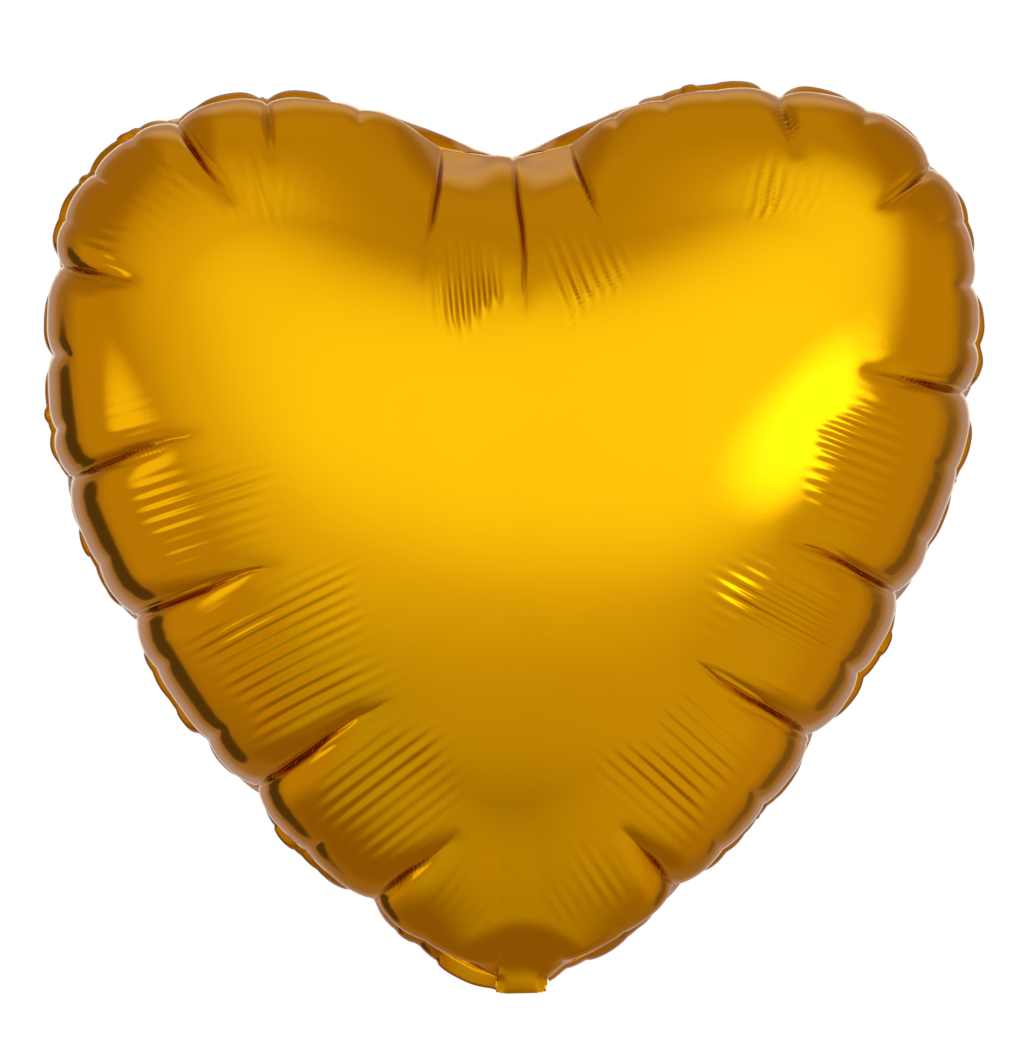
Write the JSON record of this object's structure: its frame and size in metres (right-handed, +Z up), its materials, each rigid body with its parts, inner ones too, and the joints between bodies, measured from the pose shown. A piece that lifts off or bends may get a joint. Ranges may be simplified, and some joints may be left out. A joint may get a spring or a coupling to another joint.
{
  "type": "heart-shaped foil balloon",
  "caption": "Gas-filled heart-shaped balloon of two welded foil panels, with a scalloped seam band and a folded filling tail that holds a self-sealing valve.",
  "frame": {"origin": "bottom of the neck, in the seam's plane, on the line where the tail folds and where a ribbon is tied", "axes": "+Z up from the neck to the lobes, +X to the right of someone facing the balloon, -Y towards them (the front panel faces -Y)"},
  "size_m": [0.3786, 0.1738, 0.3615],
  "materials": {
    "gold_foil": "mirror-bright gold-lacquered metallised film",
    "gold_weld": "bright gold heat-sealed film, slightly crinkled",
    "clear_film": "clear glossy polyethylene film"
  },
  "bodies": {
    "balloon": {"front_panel": "gold_foil", "back_panel": "gold_foil", "heat_seal_rim": "gold_weld", "valve_front_film": "clear_film", "valve_back_film": "clear_film", "valve_seal_left": "clear_film", "valve_seal_right": "clear_film"},
    "tail": {"tail_front_ply": "gold_foil", "tail_back_ply": "gold_foil", "tail_seal_left": "gold_weld", "tail_seal_right": "gold_weld", "tail_valve_front_film": "clear_film", "tail_valve_back_film": "clear_film", "tail_valve_seal_left": "clear_film", "tail_valve_seal_right": "clear_film", "valve_tack_weld": "clear_film"}
  },
  "joints": [
    {"name": "tail_fold", "type": "hinge", "parent": "balloon", "child": "tail", "pos_m": [0, 0.0032, 0], "axis": [-1, 0, 0], "range_deg": [0, 140]}
  ]
}
